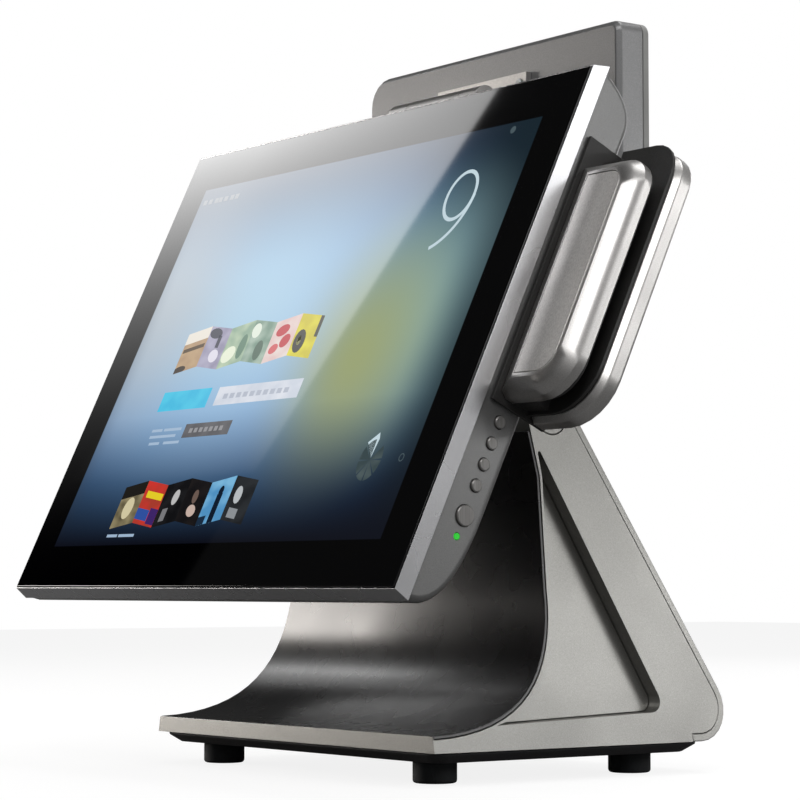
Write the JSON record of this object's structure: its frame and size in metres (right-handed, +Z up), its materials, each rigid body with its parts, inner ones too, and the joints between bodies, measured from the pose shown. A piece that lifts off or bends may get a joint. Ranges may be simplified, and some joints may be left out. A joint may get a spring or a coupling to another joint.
{
  "type": "pos touchscreen terminal",
  "caption": "Counter-top point-of-sale touch terminal on a tilting stand, with side card reader, side buttons and a tilting customer display behind.",
  "frame": {"origin": "on the counter, under the middle of the whole object's box", "axes": "+X to the cashier's right, +Y away from the cashier, +Z up"},
  "size_m": [0.3996, 0.2526, 0.3892],
  "materials": {
    "stand_paint": "warm grey metallic paint, fine sparkle, semi-gloss",
    "housing_paint": "moulded plastic with dark grey metallic paint",
    "gloss_cover": "high-gloss black plastic",
    "black_plastic": "fine-textured matt black plastic",
    "foot_rubber": "matt black rubber",
    "silver_metal": "bead-blasted and anodised satin silver",
    "brushed_metal": "brushed and anodised",
    "plated_steel": "zinc plated",
    "screen_glass": "polished glass with a black printed border",
    "circuit_board": "green solder mask",
    "led_lens": "clear green lens",
    "trim_plastic": "light grey plastic"
  },
  "bodies": {
    "stand": {"stand_shell": "stand_paint", "side_panel_left": "stand_paint", "side_panel_right": "stand_paint", "front_cover": "gloss_cover", "rear_cover": "stand_paint", "bottom_plate": "black_plastic", "foot_front_left": "foot_rubber", "foot_front_right": "foot_rubber", "foot_rear_left": "foot_rubber", "foot_rear_right": "foot_rubber", "stand_frame": "plated_steel", "ballast_plate": "plated_steel", "power_supply": "black_plastic", "hinge_shaft": "plated_steel", "hinge_cup_left": "plated_steel", "hinge_cup_right": "plated_steel", "hinge_cap_left": "stand_paint", "hinge_cap_right": "stand_paint"},
    "head": {"rear_housing": "housing_paint", "neck_cover": "black_plastic", "reader_core": "black_plastic", "lcd_panel": "black_plastic", "speaker": "black_plastic", "power_inlet": "black_plastic", "serial_port": "black_plastic", "network_port": "black_plastic", "usb_port": "black_plastic", "display_port": "black_plastic", "front_bezel": "silver_metal", "reader_front_shell": "silver_metal", "reader_rear_shell": "silver_metal", "display_bracket": "silver_metal", "heat_sink": "silver_metal", "storage_drive": "silver_metal", "reader_inset_plate": "brushed_metal", "chassis_plate": "plated_steel", "connector_strip": "plated_steel", "head_bracket": "plated_steel", "bracket_screw_1": "plated_steel", "bracket_screw_2": "plated_steel", "bracket_screw_3": "plated_steel", "bracket_screw_4": "plated_steel", "reader_head": "plated_steel", "display_pin": "plated_steel", "touch_glass": "screen_glass", "main_board": "circuit_board", "button_board": "circuit_board", "status_led": "led_lens"},
    "customer_display": {"display_back_cover": "housing_paint", "display_bezel": "trim_plastic", "display_glass": "screen_glass", "display_lcd": "black_plastic", "display_board": "circuit_board", "display_arm": "silver_metal"},
    "power_button": {"power_button": "brushed_metal"},
    "menu_button_1": {"menu_button_1": "brushed_metal"},
    "menu_button_2": {"menu_button_2": "brushed_metal"},
    "menu_button_3": {"menu_button_3": "brushed_metal"},
    "menu_button_4": {"menu_button_4": "brushed_metal"}
  },
  "joints": [
    {"name": "head_tilt", "type": "hinge", "parent": "stand", "child": "head", "pos_m": [-0.02225, 0.03167, 0.183], "axis": [1, 0, 0], "range_deg": [-35, 25]},
    {"name": "display_tilt", "type": "hinge", "parent": "head", "child": "customer_display", "pos_m": [-0.02225, 0.03567, 0.354], "axis": [1, 0, 0], "range_deg": [-15, 45]},
    {"name": "power_button_press", "type": "slide", "parent": "head", "child": "power_button", "axis": [-1, 0, 0], "range_m": [0, 0.001], "stiffness_N_per_m": 500, "springref_m": -0.001},
    {"name": "menu_button_1_press", "type": "slide", "parent": "head", "child": "menu_button_1", "axis": [-1, 0, 0], "range_m": [0, 0.001], "stiffness_N_per_m": 500, "springref_m": -0.001},
    {"name": "menu_button_2_press", "type": "slide", "parent": "head", "child": "menu_button_2", "axis": [-1, 0, 0], "range_m": [0, 0.001], "stiffness_N_per_m": 500, "springref_m": -0.001},
    {"name": "menu_button_3_press", "type": "slide", "parent": "head", "child": "menu_button_3", "axis": [-1, 0, 0], "range_m": [0, 0.001], "stiffness_N_per_m": 500, "springref_m": -0.001},
    {"name": "menu_button_4_press", "type": "slide", "parent": "head", "child": "menu_button_4", "axis": [-1, 0, 0], "range_m": [0, 0.001], "stiffness_N_per_m": 500, "springref_m": -0.001}
  ]
}
